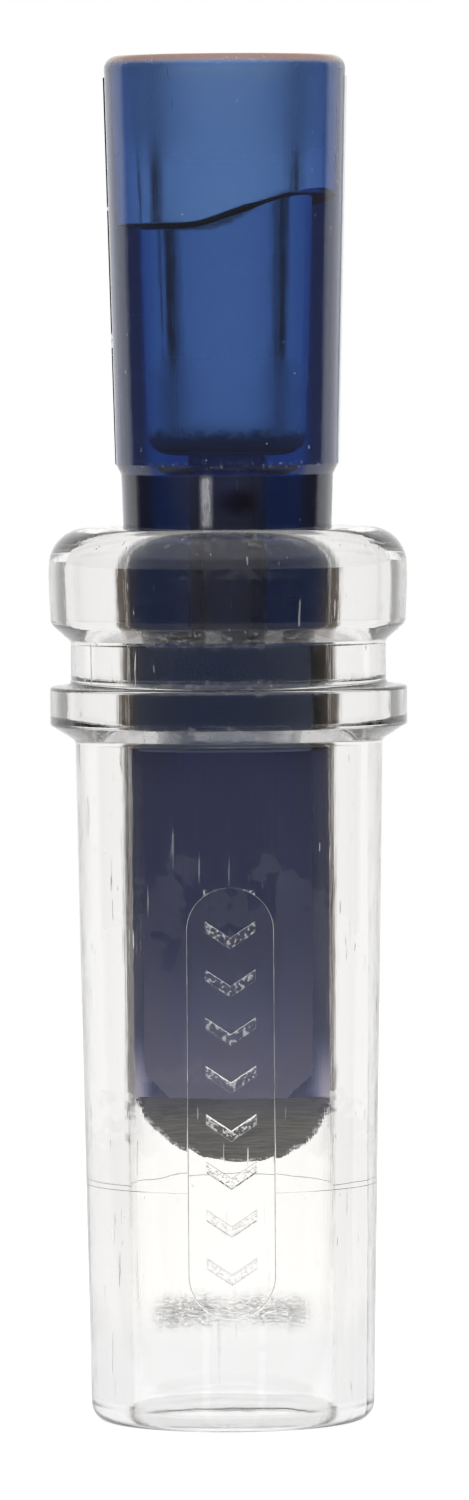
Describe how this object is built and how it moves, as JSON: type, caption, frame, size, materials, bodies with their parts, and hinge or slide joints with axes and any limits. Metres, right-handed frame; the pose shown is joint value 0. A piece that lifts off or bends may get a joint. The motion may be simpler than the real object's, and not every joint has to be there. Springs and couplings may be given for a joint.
{
  "type": "duck call",
  "caption": "Hand-held duck call: clear barrel with lanyard groove, translucent blue insert with bored exhaust and bevelled tone board, flexing reed and wedge block.",
  "frame": {"origin": "centre of the barrel's mouth face, where the call stands on its mouth end", "axes": "+Z along the bore from the mouth to the exhaust end; -Y is the front, through the middle of the barrel's raised panel"},
  "size_m": [0.0324, 0.0324, 0.123],
  "materials": {
    "clear_plastic": "clear moulded polycarbonate, glossy with fine scratches",
    "blue_plastic": "translucent dark blue moulded polycarbonate, satin gloss",
    "wedge_rubber": "matt moulded rubber",
    "reed_film": "milky polyester film, satin"
  },
  "bodies": {
    "barrel": {"barrel": "clear_plastic"},
    "insert": {"insert": "blue_plastic"},
    "wedge": {"wedge": "wedge_rubber"},
    "reed": {"reed_tail": "reed_film"},
    "tongue": {"reed_tongue": "reed_film"}
  },
  "joints": [
    {"name": "insert_slide", "type": "slide", "parent": "barrel", "child": "insert", "axis": [0, 0, 1], "range_m": [0, 0.06]},
    {"name": "wedge_slide", "type": "slide", "parent": "insert", "child": "wedge", "axis": [0, 0, -1], "range_m": [0, 0.0135]},
    {"name": "reed_slide", "type": "slide", "parent": "insert", "child": "reed", "axis": [0, 0, -1], "range_m": [0, 0.0125]},
    {"name": "reed_flex", "type": "hinge", "parent": "reed", "child": "tongue", "pos_m": [-0.0003, -0.00286, 0.0606], "axis": [0.9945, -0.1045, 0], "range_deg": [0, 2.55], "stiffness_Nm_per_rad": 0.05}
  ]
}
